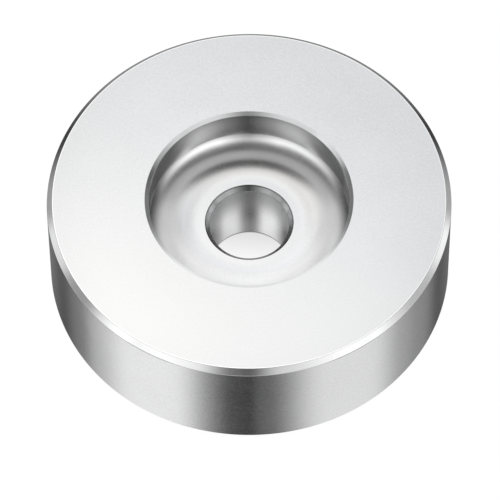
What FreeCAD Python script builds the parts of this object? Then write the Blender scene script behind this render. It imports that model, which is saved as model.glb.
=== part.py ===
import FreeCAD, Part
import Sketcher
import math
import os

# Record spindle adapter: a puck turned from one bar of aluminium.
# It fills the large centre hole of a record and drops over a thin spindle.
# Frame: millimetres, +Z up along the turning axis, the origin at the middle
# of the base, so the puck stands on z = 0.

doc = FreeCAD.newDocument("record_spindle_adapter")

# ---------------------------------------------------------------- dimensions
DIMENSIONS = [
    ("outer_dia", 38.1, "outside diameter, the large record hole"),
    ("overall_height", 12.0, "base to top face"),
    ("outer_chamfer", 0.5, "45 degree bevel round the top edge"),
    ("base_chamfer", 0.55, "45 degree bevel round the base edge"),
    ("recess_dia", 18.9, "straight wall of the recess"),
    ("recess_depth", 4.15, "top face to the recess floor"),
    ("land_dia", 9.4, "flat land round the bore, where the dish starts"),
    ("dish_radius", 14.0, "sweep of the floor from the land up to the wall"),
    ("rim_bevel_width", 0.38, "bevel round the mouth of the recess, across the top"),
    ("rim_bevel_depth", 0.20, "the same bevel, down the wall"),
    ("bore_dia", 7.5, "through bore, loose on a 7.2 spindle"),
    ("bore_chamfer", 0.45, "45 degree lead-in at the recess floor"),
    ("bore_base_chamfer", 0.2, "45 degree lead-in at the base"),
]

sheet = doc.addObject("Spreadsheet::Sheet", "Dimensions")
sheet.set("A1", "name")
sheet.set("B1", "mm")
sheet.set("C1", "what it is")
for row, (alias, value, words) in enumerate(DIMENSIONS, start=2):
    sheet.set("A%d" % row, alias)
    sheet.set("B%d" % row, str(value))
    sheet.setAlias("B%d" % row, alias)
    sheet.set("C%d" % row, words)
doc.recompute()


def cell(alias):
    return float(sheet.get(alias))


# ---------------------------------------------------------------- the puck
body = doc.addObject("PartDesign::Body", "AdapterBody")
body.Label = "adapter_body"


def origin_plane(role):
    for feature in body.Origin.OriginFeatures:
        if feature.Role == role:
            return feature
    raise RuntimeError("no origin plane " + role)


def circle_sketch(name, radius_expression, height_expression=None):
    """A circle about the turning axis, at a height above the base."""
    sketch = body.newObject("Sketcher::SketchObject", name)
    sketch.AttachmentSupport = [(origin_plane("XY_Plane"), "")]
    sketch.MapMode = "FlatFace"
    index = sketch.addGeometry(
        Part.Circle(FreeCAD.Vector(0, 0, 0), FreeCAD.Vector(0, 0, 1), 5.0), False)
    sketch.addConstraint(Sketcher.Constraint("Coincident", index, 3, -1, 1))
    radius = sketch.addConstraint(Sketcher.Constraint("Radius", index, 5.0))
    sketch.setExpression("Constraints[%d]" % radius, radius_expression)
    if height_expression:
        sketch.setExpression("AttachmentOffset.Base.z", height_expression)
    doc.recompute()
    return sketch


def recess_section():
    """Half of the recess, cut through the axis: straight wall, dished floor
    and the flat land. The dish is an arc, level where it leaves the land, and
    it meets the wall at a crease."""
    sketch = body.newObject("Sketcher::SketchObject", "RecessSection")
    sketch.AttachmentSupport = [(origin_plane("XZ_Plane"), "")]
    sketch.MapMode = "FlatFace"
    over = cell("overall_height") + 1.0
    floor_z = cell("overall_height") - cell("recess_depth")
    wall, land = cell("recess_dia") / 2, cell("land_dia") / 2
    sweep = cell("dish_radius")
    turn = math.asin((wall - land) / sweep)
    crease = floor_z + sweep * (1 - math.cos(turn))

    def point(x, y):
        return FreeCAD.Vector(x, y, 0)

    mouth = sketch.addGeometry(Part.LineSegment(point(0, over), point(wall, over)), False)
    side = sketch.addGeometry(Part.LineSegment(point(wall, over), point(wall, crease)), False)
    dish = sketch.addGeometry(Part.ArcOfCircle(
        Part.Circle(point(land, floor_z + sweep), FreeCAD.Vector(0, 0, 1), sweep),
        -math.pi / 2, -math.pi / 2 + turn), False)
    flat = sketch.addGeometry(Part.LineSegment(point(land, floor_z), point(0, floor_z)), False)
    axis = sketch.addGeometry(Part.LineSegment(point(0, floor_z), point(0, over)), False)
    for first, end, second, start in ((mouth, 2, side, 1), (side, 2, dish, 2),
                                      (dish, 1, flat, 1), (flat, 2, axis, 1),
                                      (axis, 2, mouth, 1)):
        sketch.addConstraint(Sketcher.Constraint("Coincident", first, end, second, start))
    sketch.addConstraint(Sketcher.Constraint("Horizontal", mouth))
    sketch.addConstraint(Sketcher.Constraint("Vertical", side))
    sketch.addConstraint(Sketcher.Constraint("Horizontal", flat))
    sketch.addConstraint(Sketcher.Constraint("Vertical", axis))
    sketch.addConstraint(Sketcher.Constraint("PointOnObject", axis, 1, -2))
    sketch.addConstraint(Sketcher.Constraint("Vertical", dish, 3, dish, 1))
    for kind, geometry, end, value, expression in (
            ("DistanceX", side, 2, wall, "Dimensions.recess_dia / 2"),
            ("DistanceX", dish, 1, land, "Dimensions.land_dia / 2"),
            ("DistanceY", flat, 2, floor_z,
             "Dimensions.overall_height - Dimensions.recess_depth"),
            ("DistanceY", axis, 2, over, "Dimensions.overall_height + 1")):
        number = sketch.addConstraint(
            Sketcher.Constraint(kind, -1, 1, geometry, end, value))
        sketch.setExpression("Constraints[%d]" % number, expression)
    number = sketch.addConstraint(Sketcher.Constraint("Radius", dish, sweep))
    sketch.setExpression("Constraints[%d]" % number, "Dimensions.dish_radius")
    doc.recompute()
    return sketch


def circular_edge(feature, radius, height):
    """The name of the full circle of this radius at this height."""
    for number, edge in enumerate(feature.Shape.Edges, start=1):
        curve = edge.Curve
        if (isinstance(curve, Part.Circle) and abs(curve.Radius - radius) < 1e-4
                and abs(curve.Center.z - height) < 1e-4):
            return "Edge%d" % number
    raise RuntimeError("no circular edge r=%g z=%g" % (radius, height))


def bevel(name, base, edge, expression, second=None):
    """A bevel on one circular edge, at 45 degrees unless second gives the
    size on the other face."""
    feature = body.newObject("PartDesign::Chamfer", name)
    feature.Base = (base, [edge])
    if second:
        feature.ChamferType = "Two distances"
        feature.setExpression("Size2", second)
    feature.setExpression("Size", expression)
    doc.recompute()
    return feature


def has_circle(feature, radius, height):
    """Whether a full circle of this radius lies at this height."""
    return any(isinstance(edge.Curve, Part.Circle)
               and abs(edge.Curve.Radius - radius) < 1e-4
               and abs(edge.Curve.Center.z - height) < 1e-4
               for edge in feature.Shape.Edges)


# the faced blank
blank_sketch = circle_sketch("BlankSketch", "Dimensions.outer_dia / 2")
blank = body.newObject("PartDesign::Pad", "Blank")
blank.Profile = blank_sketch
blank.setExpression("Length", "Dimensions.overall_height")
doc.recompute()
blank_volume = blank.Shape.Volume

# the wide recess, turned down into the top face
recess_sketch = recess_section()
recess = body.newObject("PartDesign::Groove", "Recess")
recess.Profile = recess_sketch
recess.ReferenceAxis = (recess_sketch, ["V_Axis"])
recess.Angle = 360.0
doc.recompute()
recess_volume = recess.Shape.Volume
if not recess_volume < blank_volume - 500.0:
    raise RuntimeError("the recess cut nothing")

# the spindle bore, right through
bore_sketch = circle_sketch("BoreSketch", "Dimensions.bore_dia / 2",
                            "Dimensions.overall_height")
bore = body.newObject("PartDesign::Pocket", "SpindleBore")
bore.Profile = bore_sketch
bore.setExpression("Length", "Dimensions.overall_height + 1")
doc.recompute()
if not bore.Shape.Volume < recess_volume - 100.0:
    raise RuntimeError("the bore cut nothing")

top = cell("overall_height")
floor = top - cell("recess_depth")
outer_radius = cell("outer_dia") / 2
recess_radius = cell("recess_dia") / 2
bore_radius = cell("bore_dia") / 2

# bevels on every outside edge
tip = bevel("TopBevel", bore,
            circular_edge(bore, outer_radius, top), "Dimensions.outer_chamfer")
rim_width, rim_depth = cell("rim_bevel_width"), cell("rim_bevel_depth")
tip = bevel("RimBevel", tip, circular_edge(tip, recess_radius, top),
            "Dimensions.rim_bevel_width", "Dimensions.rim_bevel_depth")
if not has_circle(tip, recess_radius + rim_width, top):
    # the two sizes were laid on the other way round
    tip.FlipDirection = True
    doc.recompute()
if not (has_circle(tip, recess_radius + rim_width, top)
        and has_circle(tip, recess_radius, top - rim_depth)):
    raise RuntimeError("the rim bevel doesn't have its two sizes")
tip = bevel("BoreLeadIn", tip,
            circular_edge(tip, bore_radius, floor), "Dimensions.bore_chamfer")
tip = bevel("BaseBevel", tip,
            circular_edge(tip, outer_radius, 0.0), "Dimensions.base_chamfer")
tip = bevel("BoreBaseLeadIn", tip,
            circular_edge(tip, bore_radius, 0.0), "Dimensions.bore_base_chamfer")
body.Tip = tip
body.Placement = FreeCAD.Placement(FreeCAD.Vector(0, 0, 0), FreeCAD.Rotation())
doc.recompute()

# ---------------------------------------------------------------- checks
for obj in doc.Objects:
    if "Invalid" in obj.State or "Error" in obj.State:
        raise RuntimeError("%s did not recompute: %s" % (obj.Name, obj.State))

PARTS = [body]
for part in PARTS:
    shape = part.Shape
    if shape.isNull() or not shape.isValid() or len(shape.Solids) != 1:
        raise RuntimeError(part.Label + " is not one valid solid")
    box = shape.BoundBox
    print("%s: %.2f x %.2f x %.2f mm, z %.3f to %.3f, %.1f mm3, %.2f g" % (
        part.Label, box.XLength, box.YLength, box.ZLength, box.ZMin, box.ZMax,
        shape.Volume, shape.Volume * 2.7e-3))

# ---------------------------------------------------------------- export
os.makedirs("parts", exist_ok=True)
for part in PARTS:
    part.Shape.exportStep("parts/%s.step" % part.Label)
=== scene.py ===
import math

import bmesh
import bpy
import numpy as np
from mathutils import Matrix, Vector


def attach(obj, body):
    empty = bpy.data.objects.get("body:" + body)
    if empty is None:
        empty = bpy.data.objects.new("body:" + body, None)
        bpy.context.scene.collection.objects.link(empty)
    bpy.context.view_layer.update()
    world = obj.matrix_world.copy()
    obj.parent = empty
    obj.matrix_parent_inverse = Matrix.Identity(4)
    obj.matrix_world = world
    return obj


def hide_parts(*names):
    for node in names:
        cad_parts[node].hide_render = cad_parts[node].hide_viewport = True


# A record spindle adapter: one puck turned from aluminium. It has a fine satin
# top and side, brighter cut bevels, and a wide recess with a dished floor round
# a through bore. Metres throughout; profile sizes below are in millimetres.

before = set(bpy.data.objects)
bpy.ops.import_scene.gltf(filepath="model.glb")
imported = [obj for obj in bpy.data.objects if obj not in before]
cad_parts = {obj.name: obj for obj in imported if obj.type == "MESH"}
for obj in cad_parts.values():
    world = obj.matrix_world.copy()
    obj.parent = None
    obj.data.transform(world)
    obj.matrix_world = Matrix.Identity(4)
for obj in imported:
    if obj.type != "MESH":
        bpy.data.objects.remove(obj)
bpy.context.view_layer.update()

MM = 0.001

# ------------------------------------------------------------------ dimensions
R_OUT, TOP = 19.05, 12.0
TOP_BEVEL, BASE_BEVEL = 0.5, 0.55
R_WALL, RIM_W, RIM_D = 9.45, 0.38, 0.20
FLOOR = TOP - 4.15
R_LAND, R_DISH = 4.7, 14.0
R_BORE, LEAD_IN, BASE_LEAD = 3.75, 0.45, 0.2
GLINT_BAND = 0.09        # width of a near-white band on the top face beside the bevel, a painted highlight line
LIP = 0.10            # width of a thin facet round the mouth of the bore, coloured dark as a painted shade line

TURN = math.asin((R_WALL - R_LAND) / R_DISH)
CREASE = FLOOR + R_DISH * (1 - math.cos(TURN))

# zones of the surface, each with its own finish; EDGE carries a painted highlight line and DARK a
# painted shade line
SIDE, BEVEL, FACE, RIM, WALL, DISH, MOUTH, BORE, BASE, EDGE, DARK = range(11)


# ------------------------------------------------------------------ the profile
def corner(p, a, b, radius, zone, steps):
    """A small round over the corner p, whose neighbours are a and b."""
    p, a, b = Vector(p), Vector(a), Vector(b)
    u, v = (a - p).normalized(), (b - p).normalized()
    half = math.acos(max(-1.0, min(1.0, u.dot(v)))) / 2
    reach = radius / math.tan(half)
    centre = p + (u + v).normalized() * (radius / math.sin(half))
    start, end = p + u * reach, p + v * reach
    first, last = start - centre, end - centre
    sweep = last.angle_signed(first)
    out = []
    for i in range(steps + 1):
        arm = Matrix.Rotation(sweep * i / steps, 2) @ first
        out.append((centre + arm, arm.normalized(), zone))
    return out


def profile():
    """Points round the half section, anticlockwise seen with the axis on the
    left: (point, outward normal, zone of the face that follows)."""
    spots = [
        # point, edge round radius (0 for none), its zone, zone of the next face
        ((R_BORE, BASE_LEAD), 0.05, MOUTH, MOUTH),
        ((R_BORE + BASE_LEAD, 0.0), 0.05, MOUTH, BASE),
        ((R_OUT - BASE_BEVEL, 0.0), 0.06, BEVEL, BEVEL),
        ((R_OUT, BASE_BEVEL), 0.10, SIDE, SIDE),
        # the rounds either side of the top bevel and a thin band on the face take EDGE, a painted
        # highlight
        ((R_OUT, TOP - TOP_BEVEL), 0.10, EDGE, BEVEL),
        ((R_OUT - TOP_BEVEL, TOP), 0.06, EDGE, EDGE),
        ((R_OUT - TOP_BEVEL - GLINT_BAND, TOP), 0, FACE, FACE),
        ((R_WALL + RIM_W, TOP), 0.05, RIM, RIM),
        ((R_WALL, TOP - RIM_D), 0.05, RIM, WALL),
        # the dish is laid in between the next two
        ((R_WALL, CREASE), None, WALL, DISH),
        ((R_LAND, FLOOR), None, DISH, DISH),
        # from this corner to the next point the facet takes DARK, a painted shade line
        ((R_BORE + LEAD_IN, FLOOR), 0.03, DARK, DARK),
        ((R_BORE + LEAD_IN - LIP, FLOOR - LIP), 0, MOUTH, MOUTH),
        ((R_BORE, FLOOR - LEAD_IN), 0.08, MOUTH, BORE),
    ]
    n = len(spots)
    rows = []
    for i, (p, radius, own, after) in enumerate(spots):
        a, b = spots[i - 1][0], spots[(i + 1) % n][0]
        if radius:
            arc = corner(p, a, b, radius, own, 6)
            # the round's last point starts the next face
            rows += arc[:-1] + [(arc[-1][0], arc[-1][1], after)]
        elif radius == 0:
            run = (Vector(b) - Vector(a)).normalized()
            rows.append((Vector(p), Vector((run.y, -run.x)), after))
    # the dish goes in after the last point of the rim
    at = next(k for k, r in enumerate(rows) if r[2] == WALL)
    dish = []
    small = 0.02          # the round left in the crease under the wall
    centre = Vector((R_LAND, FLOOR + R_DISH))
    # the crease round touches the wall and the inside of the dish
    cx = R_WALL - small
    cy = centre.y - math.sqrt((R_DISH - small) ** 2 - (cx - centre.x) ** 2)
    meet = math.atan2(cx - centre.x, centre.y - cy)
    for i in range(7):
        t = math.pi / 2 + (meet - math.pi / 2) * i / 6
        arm = Vector((math.sin(t), -math.cos(t)))
        dish.append((Vector((cx, cy)) + arm * small, -arm, DISH))
    for i in range(1, 25):
        t = meet * (1 - i / 24)
        arm = Vector((math.sin(t), -math.cos(t)))
        dish.append((centre + arm * R_DISH, -arm, DISH))
    return rows[:at + 1] + dish + rows[at + 1:]


# faces are cut into short bands so that the mesh has no long thin strips
def banded(rows, longest=1.2):
    out = []
    n = len(rows)
    for i, (p, normal, zone) in enumerate(rows):
        q, after, _ = rows[(i + 1) % n]
        out.append((p, normal, zone))
        cuts = int(math.ceil((q - p).length / longest))
        for k in range(1, cuts):
            out.append((p.lerp(q, k / cuts), normal.lerp(after, k / cuts), zone))
    return out


SEGMENTS = 720


def turned(name, rows):
    """The half section turned about Z, with its true normals."""
    n = len(rows)
    t = np.arange(SEGMENTS) * (2 * math.pi / SEGMENTS)
    s, c = np.sin(t), np.cos(t)
    r = np.array([p.x for p, _, _ in rows]) * MM
    z = np.array([p.y for p, _, _ in rows]) * MM
    nr = np.array([v.x for _, v, _ in rows])
    nz = np.array([v.y for _, v, _ in rows])
    co = np.stack([np.outer(c, r), np.outer(s, r), np.tile(z, (SEGMENTS, 1))], -1)
    no = np.stack([np.outer(c, nr), np.outer(s, nr), np.tile(nz, (SEGMENTS, 1))], -1)
    no /= np.linalg.norm(no, axis=-1, keepdims=True)
    faces, zones = [], []
    for i in range(SEGMENTS):
        j = (i + 1) % SEGMENTS
        for k in range(n):
            m = (k + 1) % n
            faces.append((i * n + k, j * n + k, j * n + m, i * n + m))
            zones.append(rows[k][2])
    mesh = bpy.data.meshes.new(name)
    mesh.from_pydata(co.reshape(-1, 3).tolist(), [], faces)
    mesh.polygons.foreach_set("material_index", zones)
    mesh.polygons.foreach_set("use_smooth", [True] * len(faces))
    mesh.update()
    mesh.normals_split_custom_set_from_vertices(no.reshape(-1, 3).tolist())
    return mesh


rows = banded(profile())
adapter = bpy.data.objects.new("adapter", turned("adapter", rows))
bpy.context.scene.collection.objects.link(adapter)
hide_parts("adapter_body")
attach(adapter, "root")


# ------------------------------------------------------------------ node help
class Tree:
    """Short ways to add nodes to one node tree."""

    def __init__(self, tree):
        self.tree = tree
        tree.nodes.clear()

    def node(self, kind, **settings):
        made = self.tree.nodes.new(kind)
        for key, value in settings.items():
            setattr(made, key, value)
        return made

    def put(self, value, socket):
        if isinstance(value, bpy.types.NodeSocket):
            self.tree.links.new(value, socket)
        elif value is not None:
            socket.default_value = value

    def math(self, operation, *values, clamp=False):
        made = self.node("ShaderNodeMath", operation=operation, use_clamp=clamp)
        for k, value in enumerate(values):
            self.put(value, made.inputs[k])
        return made.outputs[0]

    def dot(self, vector, axis):
        made = self.node("ShaderNodeVectorMath", operation="DOT_PRODUCT")
        self.put(vector, made.inputs[0])
        self.put(axis, made.inputs[1])
        return made.outputs["Value"]

    def band(self, value, low, high, start=0.0, end=1.0, kind="SMOOTHSTEP"):
        made = self.node("ShaderNodeMapRange", interpolation_type=kind)
        for k, item in enumerate((value, low, high, start, end)):
            self.put(item, made.inputs[k])
        return made.outputs[0]

    def noise(self, vector, scale, detail=3.0, rough=0.5):
        made = self.node("ShaderNodeTexNoise", noise_dimensions="3D")
        self.put(vector, made.inputs["Vector"])
        made.inputs["Scale"].default_value = scale
        made.inputs["Detail"].default_value = detail
        made.inputs["Roughness"].default_value = rough
        return made.outputs["Fac"]


# ------------------------------------------------------------------ finishes
def finish(name, colour, roughness, spread, grain, turned_lines, line_scale,
           line_axis, tone=0.03, climb=None):
    """Satin aluminium. grain is the height of the fine blasted texture and
    turned_lines that of the tool's rings, both in metres; spread is how much
    the roughness wanders. climb makes it rougher with height and darkens it
    there as painted shade: (from, to, how much rougher, share of the tone lost)."""
    mat = bpy.data.materials.new(name)
    mat.use_nodes = True
    t = Tree(mat.node_tree)
    out = t.node("ShaderNodeOutputMaterial")
    shader = t.node("ShaderNodeBsdfPrincipled")
    t.put(shader.outputs[0], out.inputs[0])
    shader.inputs["Metallic"].default_value = 1.0
    shader.inputs["IOR"].default_value = 1.45
    shader.inputs["Specular IOR Level"].default_value = 0.5

    place = t.node("ShaderNodeTexCoord").outputs["Object"]
    parts = t.node("ShaderNodeSeparateXYZ")
    t.put(place, parts.inputs[0])
    x, y, z = parts.outputs
    radius = t.math("SQRT", t.math("ADD", t.math("MULTIPLY", x, x),
                                   t.math("MULTIPLY", y, y)))
    along = radius if line_axis == "R" else z
    # rings left by the tool: noise that only changes along the section
    ring_at = t.node("ShaderNodeCombineXYZ")
    t.put(t.math("MULTIPLY", along, 1.0), ring_at.inputs[0])
    rings = t.noise(ring_at.outputs[0], line_scale, 2.0, 0.65)
    # fine grain, and slow clouds of tone and gloss
    fine = t.noise(place, 5200.0, 2.0, 0.6)
    cloud = t.noise(place, 160.0, 3.0, 0.55)
    speck = t.noise(place, 4600.0, 1.0, 0.5)

    # roughness: the base value, the clouds, the grain and the rings
    wander = t.math("ADD", t.math("MULTIPLY", t.math("SUBTRACT", cloud, 0.5), spread),
                    t.math("MULTIPLY", t.math("SUBTRACT", speck, 0.5), spread * 1.4))
    wander = t.math("ADD", wander,
                    t.math("MULTIPLY", t.math("SUBTRACT", rings, 0.5), spread * 0.8))
    if climb:
        low, high, more, shade_share = climb
        wander = t.math("ADD", wander, t.band(z, low * MM, high * MM, 0.0, more))
    t.put(t.math("ADD", wander, roughness, clamp=True), shader.inputs["Roughness"])

    # colour: bare metal, a little lighter and darker with the grain
    mix = t.node("ShaderNodeMix", data_type="RGBA")
    dark = tuple(v * (1 - tone) for v in colour) + (1.0,)
    light = tuple(min(1.0, v * (1 + tone)) for v in colour) + (1.0,)
    shade = t.math("ADD", t.math("MULTIPLY", speck, 0.6), t.math("MULTIPLY", cloud, 0.4))
    t.put(t.band(shade, 0.3, 0.7, kind="LINEAR"), mix.inputs[0])
    mix.inputs[6].default_value = dark
    mix.inputs[7].default_value = light
    tint = mix.outputs[2]
    # painted shade: with climb the colour is mixed towards black higher up
    if climb:
        shaded_tint = t.node("ShaderNodeMix", data_type="RGBA")
        t.put(t.band(z, low * MM, high * MM, 0.0, shade_share), shaded_tint.inputs[0])
        t.put(tint, shaded_tint.inputs[6])
        shaded_tint.inputs[7].default_value = (0.0, 0.0, 0.0, 1.0)
        tint = shaded_tint.outputs[2]
    t.put(tint, shader.inputs["Base Color"])

    height = t.math("ADD", t.math("MULTIPLY", fine, grain),
                    t.math("MULTIPLY", rings, turned_lines))
    bump = t.node("ShaderNodeBump")
    bump.inputs["Strength"].default_value = 1.0
    bump.inputs["Distance"].default_value = 1.0
    t.put(height, bump.inputs["Height"])
    t.put(bump.outputs[0], shader.inputs["Normal"])
    return mat


# One bare metal, given its own base colour in each zone to match that zone's brightness: partly the
# real difference between cut and satin surfaces, partly painted light and shade.
CUT = (0.903, 0.905, 0.907)
SATIN = (0.775, 0.78, 0.785)
um = 1e-6
finishes = {
    SIDE: finish("satin_side", CUT, 0.20, 0.05, 0.9 * um, 0.5 * um, 9000, "Z", tone=0.07),
    BEVEL: finish("cut_bevel", CUT, 0.16, 0.04, 0.15 * um, 0.35 * um, 12000, "R"),
    FACE: finish("satin_top", SATIN, 0.17, 0.05, 0.65 * um, 0.12 * um, 9000, "R", tone=0.05),
    RIM: finish("cut_rim", (0.85, 0.855, 0.86), 0.16, 0.04, 0.3 * um, 0.4 * um, 12000, "R"),
    WALL: finish("turned_wall", CUT, 0.15, 0.04, 0.4 * um, 0.5 * um, 9000, "Z"),
    DISH: finish("turned_dish", (0.787, 0.787, 0.789), 0.12, 0.03, 0.4 * um, 0.3 * um, 9000, "R"),
    # painted shade: the mouth zone is a darker copy of the metal
    MOUTH: finish("cut_mouth_painted_shade", (0.62, 0.625, 0.63), 0.15, 0.04, 0.4 * um, 0.4 * um, 12000, "R"),
    # painted shade: the bore's colour darkens towards its top, where its roughness also rises
    BORE: finish("bored_hole", (0.88, 0.882, 0.884), 0.26, 0.03, 0.2 * um, 0.4 * um, 9000, "Z",
                 climb=(3.0, 6.8, 0.20, 0.26)),
    BASE: finish("satin_base", SATIN, 0.28, 0.06, 1.2 * um, 0.4 * um, 9000, "R"),
    # painted shade: a dark copy of the metal round the mouth of the bore
    DARK: finish("painted_shade_lip", (0.34, 0.343, 0.346), 0.20, 0.03, 0.2 * um, 0.2 * um, 9000, "R"),
    # painted highlight: a near-white copy of the metal along the top bevel's edges
    EDGE: finish("painted_highlight_edge", (0.99, 0.99, 0.99), 0.14, 0.02, 0.0, 0.0, 9000, "R", tone=0.01),
}
for zone in range(11):
    adapter.data.materials.append(finishes[zone])

# ------------------------------------------------------------------ floor
bpy.ops.mesh.primitive_plane_add(size=6.0, location=(0, 0, -0.00002))
floor = bpy.context.object
floor.name = "floor"
floor.visible_glossy = False
paper = bpy.data.materials.new("pale_floor")
paper.use_nodes = True
t = Tree(paper.node_tree)
out = t.node("ShaderNodeOutputMaterial")
matt = t.node("ShaderNodeBsdfDiffuse")
matt.inputs[0].default_value = (0.06, 0.06, 0.06, 1)
# painted shade: the bit of it seen through the bore glows a little less towards the back
spots_at = t.node("ShaderNodeSeparateXYZ")
t.put(t.node("ShaderNodeTexCoord").outputs["Object"], spots_at.inputs[0])
fx, fy, _ = spots_at.outputs
inside = t.math("LESS_THAN", t.math("ADD", t.math("MULTIPLY", fx, fx), t.math("MULTIPLY", fy, fy)),
                (R_BORE + 1.0) ** 2 * 1e-6)
shaded = t.band(t.math("MULTIPLY_ADD", fx, 0.12, fy), 0.2 * MM, 4.3 * MM, 0.0, 0.27, kind="LINEAR")
away = t.math("SQRT", t.math("ADD", t.math("MULTIPLY", fx, fx), t.math("MULTIPLY", fy, fy)))
# painted contact shadow: a darker ring from the bore's edge outward
shaded = t.math("ADD", shaded, t.band(away, 3.72 * MM, 3.86 * MM, 0.0, 0.55))
glow = t.node("ShaderNodeEmission")
glow.inputs[0].default_value = (1, 1, 1, 1)
t.put(t.math("SUBTRACT", 0.96, t.math("MULTIPLY", inside, shaded)), glow.inputs[1])
both = t.node("ShaderNodeAddShader")
t.put(matt.outputs[0], both.inputs[0])
t.put(glow.outputs[0], both.inputs[1])
t.put(both.outputs[0], out.inputs[0])
floor.data.materials.append(paper)

# ------------------------------------------------------------------ near lights
def reflected_light(thing, build):
    """Makes thing a soft light that only reflections show. build gives its
    colour and strength from the object's own coordinates."""
    thing.visible_camera = False
    thing.visible_diffuse = False
    thing.visible_shadow = False
    thing.visible_transmission = False
    film = bpy.data.materials.new(thing.name)
    film.use_nodes = True
    t = Tree(film.node_tree)
    out = t.node("ShaderNodeOutputMaterial")
    parts = t.node("ShaderNodeSeparateXYZ")
    t.put(t.node("ShaderNodeTexCoord").outputs["Object"], parts.inputs[0])
    glow = t.node("ShaderNodeEmission")
    colour, strength = build(t, *parts.outputs)
    t.put(colour, glow.inputs[0])
    t.put(strength, glow.inputs[1])
    clear = t.node("ShaderNodeBsdfTransparent")
    both = t.node("ShaderNodeAddShader")
    t.put(glow.outputs[0], both.inputs[0])
    t.put(clear.outputs[0], both.inputs[1])
    t.put(both.outputs[0], out.inputs[0])
    thing.data.materials.append(film)


def length_of(t, x, y):
    return t.math("SQRT", t.math("ADD", t.math("MULTIPLY", x, x), t.math("MULTIPLY", y, y)))


WHITE = (1, 1, 1, 1)
SPECULAR = math.radians(58.35)
mirror = Vector((0, math.cos(SPECULAR), math.sin(SPECULAR)))
over_top = Vector((0, -math.sin(SPECULAR), math.cos(SPECULAR)))


def facing_panel(name, size, away):
    """A square panel in the direction that the top face mirrors to the
    camera, facing back to it. Its own Y runs forward."""
    bpy.ops.mesh.primitive_plane_add(size=size)
    panel = bpy.context.object
    panel.name = name
    spot = mirror * away + Vector((0, 0, TOP * MM))
    panel.matrix_world = Matrix((
        (1, over_top.x, mirror.x, spot.x),
        (0, over_top.y, mirror.y, spot.y),
        (0, over_top.z, mirror.z, spot.z),
        (0, 0, 0, 1)))
    return panel


# lighter to the front and left, so that the top face isn't one flat tone
def near_glow(t, sideways, forward, _):
    reach = length_of(t, sideways, forward)
    disc = t.math("MULTIPLY", t.band(reach, 0.014, 0.038, 1.0, 0.0),
                  t.band(forward, 0.014, 0.026, 1.0, 0.0))
    colour = t.node("ShaderNodeCombineColor")
    for k, (level, across_mm, forward_mm) in enumerate((
            (0.272, -6.2, 15.0), (0.272, -5.7, 14.0), (0.272, -4.9, 12.6))):
        lit = t.math("MULTIPLY_ADD", sideways, across_mm, level)
        lit = t.math("MULTIPLY_ADD", forward, forward_mm, lit)
        t.put(t.math("MAXIMUM", lit, 0.0), colour.inputs[k])
    return colour.outputs[0], disc


# closer still, this lifts the front and left of the top face
def fill_glow(t, sideways, forward, _):
    reach = length_of(t, sideways, forward)
    ring = t.math("MULTIPLY", t.band(reach, 0.009, 0.018), t.band(reach, 0.021, 0.028, 1.0, 0.0))
    lean = t.math("MULTIPLY_ADD", sideways, -25.0, t.math("MULTIPLY", forward, 60.0))
    lean = t.math("MAXIMUM", lean, 0.0)
    return WHITE, t.math("MULTIPLY", t.math("MULTIPLY", ring, lean), 0.15)


# low and curved round the front, this one only shows in the top bevel
BAR_R, BAR_LOW, BAR_HIGH = 0.030, 0.012, 0.0225


def bar_glow(t, x, y, z):
    swing = t.math("ARCTAN2", x, t.math("MULTIPLY", y, -1.0))
    swing = t.math("ABSOLUTE", t.math("ADD", swing, math.radians(4)))
    length = t.math("MULTIPLY", t.band(swing, math.radians(3), math.radians(15)),
                    t.band(swing, math.radians(42), math.radians(62), 1.0, 0.0))
    height = t.math("MULTIPLY", t.band(z, 0.0125, 0.0145), t.band(z, 0.0195, 0.0215, 1.0, 0.0))
    return WHITE, t.math("MULTIPLY", t.math("MULTIPLY", length, height), 0.50)


# the pale paper under the bore, as the lower end of the bore reflects it
def paper_glow(t, x, y, _):
    middle = t.band(t.math("ABSOLUTE", x), 0.4 * MM, 1.9 * MM, 1.0, 0.0)
    return WHITE, t.math("MULTIPLY", middle, t.band(y, 1.2 * MM, 2.9 * MM, 0.0, 0.13))


reflected_light(facing_panel("near_light", 0.09, 0.15), near_glow)
reflected_light(facing_panel("fill_light", 0.06, 0.03), fill_glow)

turns = [math.radians(-110 + 220 * k / 96) for k in range(97)]
verts = [(BAR_R * math.sin(a), -BAR_R * math.cos(a), z) for a in turns for z in (BAR_LOW, BAR_HIGH)]
quads = [(2 * k, 2 * k + 2, 2 * k + 3, 2 * k + 1) for k in range(96)]
mesh = bpy.data.meshes.new("low_bar")
mesh.from_pydata(verts, [], quads)
bar = bpy.data.objects.new("low_bar", mesh)
bpy.context.scene.collection.objects.link(bar)
reflected_light(bar, bar_glow)

bpy.ops.mesh.primitive_circle_add(radius=R_BORE * MM, vertices=64, fill_type="NGON",
                                  location=(0, 0, -0.00001))
paper_disc = bpy.context.object
paper_disc.name = "bore_paper"
reflected_light(paper_disc, paper_glow)

# ------------------------------------------------------------------ studio
world = bpy.data.worlds.new("studio")
bpy.context.scene.world = world
world.use_nodes = True
t = Tree(world.node_tree)
out = t.node("ShaderNodeOutputWorld")

direction = t.node("ShaderNodeTexCoord").outputs["Generated"]
split = t.node("ShaderNodeSeparateXYZ")
t.put(direction, split.inputs[0])
dx, dy, dz = split.outputs
DEG = math.pi / 180
across = t.math("ABSOLUTE", dx)
ahead = t.math("MULTIPLY", dy, -1.0)
right_hand = t.band(dx, -0.05, 0.05)


def degrees(socket):
    return t.math("DIVIDE", socket, DEG)


def around(over, under):
    return degrees(t.math("ARCTAN2", over, under))


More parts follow.
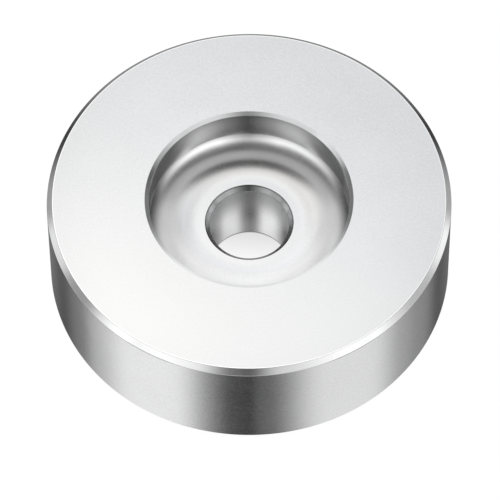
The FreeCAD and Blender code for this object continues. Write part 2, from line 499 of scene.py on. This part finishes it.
# A: azimuth from the front and elevation above the horizon.
# Z: tilt to the side and tilt forward of the point overhead.
# M: angle round the direction that the level faces mirror to the camera,
#    and distance from it.
turn = t.math("ARCTAN2", across, t.dot(direction, over_top))
grids = {
    "A": (around(across, ahead), degrees(t.math("ARCSINE", dz))),
    "Z": (degrees(t.math("ARCSINE", across)), around(ahead, dz)),
    "M": (degrees(turn), degrees(t.math("ARCCOSINE", t.dot(direction, mirror)))),
}
outward = t.math("SUBTRACT", 1.0, t.math("COSINE", turn))


def window(value, low, high, soft, least, most):
    """1 between low and high with soft edges; an edge past the end of the
    scale is left out."""
    made = None
    if low + soft / 2 > least:
        made = t.band(value, low - soft / 2, low + soft / 2, 0.0, 1.0)
    if high - soft / 2 < most:
        fall = t.band(value, high - soft / 2, high + soft / 2, 1.0, 0.0)
        made = fall if made is None else t.math("MULTIPLY", made, fall)
    return 1.0 if made is None else made


AMBIENT = 0.03
# soft lights as the puck sees them, in degrees: grid, low and high edge and
# softness one way, the same the other way, light, share on the right, drift
LIGHTS = [
    ("Z", -30, 31, 25, -102, -51, 30, 0.92, 1, 0),          # broad panel behind
    ("Z", -30, 14, 9, -72, -23, 8, 0.47, 1, 0),             # its brighter middle
    ("M", -60, 230, 20, -60, 10.5, 15, 0.38, 0.95, 3.0),    # round the mirror point
    ("M", -60, 115, 40, 4, 9, 4, -0.20, 0.9, 0),            # a little less just over it
    ("M", 120, 230, 40, 4, 18, 6, 0.16, 1, 0),              # and more under it
    ("M", 67, 135, 50, 10.6, 23.7, 9, 0.70, 0.96, 3.4),     # cheeks either side of it
    ("M", -60, 62, 37, 17.5, 24.8, 3, 0.43, 1.08, 1.4),     # thin overhead strip
    ("M", 13, 61.6, 50, 34.2, 35.1, 6, 2.80, 1.2, -7),      # pair of bright strips
    ("M", -60, 21.5, 10, 31.7, 36, 3, 0.38, 0.94, -14),     # and the gap between
    ("M", 30, 72, 26, 13, 20, 5, 0.10, 1, 0),
    ("M", 32, 84, 24, 6, 13.5, 5, -0.12, 0, 0),             # a little less on the left
    ("M", -60, 83, 50, 25, 73, 3, 0.13, 0.7, 2.8),          # dim light in front
    ("A", 19, 101, 50, 52, 82, 14, 0.51, 1.2, 0),
    ("A", 75, 113, 5, 42, 54.5, 6, 0.48, 0.73, 0),
    ("A", 15, 50, 49, 25, 36, 29, 0.83, 0.75, 0),
    ("A", -20, 36, 6, -43, 14, 12, 0.42, 0.95, 0),
    ("A", 56, 115, 8, -12, 24, 4, 0.59, 1.15, 0),
    ("A", -1, 108, 10, -87, -41.5, 7, 0.45, 0.67, 0),
    ("A", 23.5, 88, 26, -74, -45, 30, 0.43, 1.12, 0),
    ("A", -20, 36, 19, -90, -46, 30, -0.44, 0.5, 0),        # gap low in front
    ("A", 141, 200, 26, -58, -20, 10, 0.25, 0.80, 0),
    ("A", 108, 130, 20, -87, -35, 5, 0.16, 1.5, 0),
    ("A", 38, 62, 37, 13, 38, 29, 0.45, 1.31, 0),
    ("A", 111, 134, 18, -30, 30, 30, 0.33, 1.08, 0),
    ("A", 76, 94, 9, 4, 21, 7, -0.30, 0.7, 0),
    ("A", 98, 111, 8, 1, 18, 7, 0.17, 1.6, 0),
]
ENDS = {"A": (0, 180, -90, 90), "Z": (0, 90, -180, 180), "M": (0, 180, 0, 180)}

light = AMBIENT
for grid, u0, u1, su, v0, v1, sv, power, share, drift in LIGHTS:
    u, v = grids[grid]
    if drift:
        v = t.math("SUBTRACT", v, t.math("MULTIPLY", outward, drift))
    least_u, most_u, least_v, most_v = ENDS[grid]
    shape = t.math("MULTIPLY", window(u, u0, u1, su, least_u, most_u),
                   window(v, v0, v1, sv, least_v, most_v))
    if grid == "Z":
        shape = t.math("MULTIPLY", shape, t.math("GREATER_THAN", dz, 0.0))
    if share != 1:
        shape = t.math("MULTIPLY", shape, t.band(right_hand, 0.0, 1.0, 1.0, share, kind="LINEAR"))
    light = t.math("MULTIPLY_ADD", shape, power, light)
light = t.math("MAXIMUM", light, 0.0)

studio = t.node("ShaderNodeBackground")
t.put(light, studio.inputs[0])
plain = t.node("ShaderNodeBackground")
plain.inputs[0].default_value = (1, 1, 1, 1)
plain.inputs[1].default_value = 1.06
path = t.node("ShaderNodeLightPath")
both = t.node("ShaderNodeMixShader")
t.put(path.outputs["Is Glossy Ray"], both.inputs[0])
t.put(plain.outputs[0], both.inputs[1])
t.put(studio.outputs[0], both.inputs[2])
t.put(both.outputs[0], out.inputs[0])

scene = bpy.context.scene
scene.view_settings.view_transform = "Standard"
scene.view_settings.look = "None"

# ------------------------------------------------------------------ camera
LENS, RISE, FAR, ROLL = 5168.0, math.radians(58.35), 495.8, -0.009
CX, CY = 249.124 + 0.5, 262.07 + 0.5
LIFT = BASE_BEVEL * MM
data = bpy.data.cameras.new("camera")
camera = bpy.data.objects.new("camera", data)
scene.collection.objects.link(camera)
data.sensor_width = 36.0
data.lens = LENS * 36 / 500
data.clip_start = 0.01
data.clip_end = 50.0
eye = Vector((0, -FAR * math.cos(RISE), FAR * math.sin(RISE))) * MM
look = (-eye).normalized()
side = Vector((1, 0, 0))
up = side.cross(look)
across = side * math.cos(ROLL) + up * math.sin(ROLL)
above = up * math.cos(ROLL) - side * math.sin(ROLL)
camera.matrix_world = Matrix((
    (across.x, above.x, -look.x, eye.x),
    (across.y, above.y, -look.y, eye.y),
    (across.z, above.z, -look.z, eye.z + LIFT),
    (0, 0, 0, 1)))
data.shift_x = (250 - CX) / 500
data.shift_y = (CY - 250) / 500
scene.camera = camera
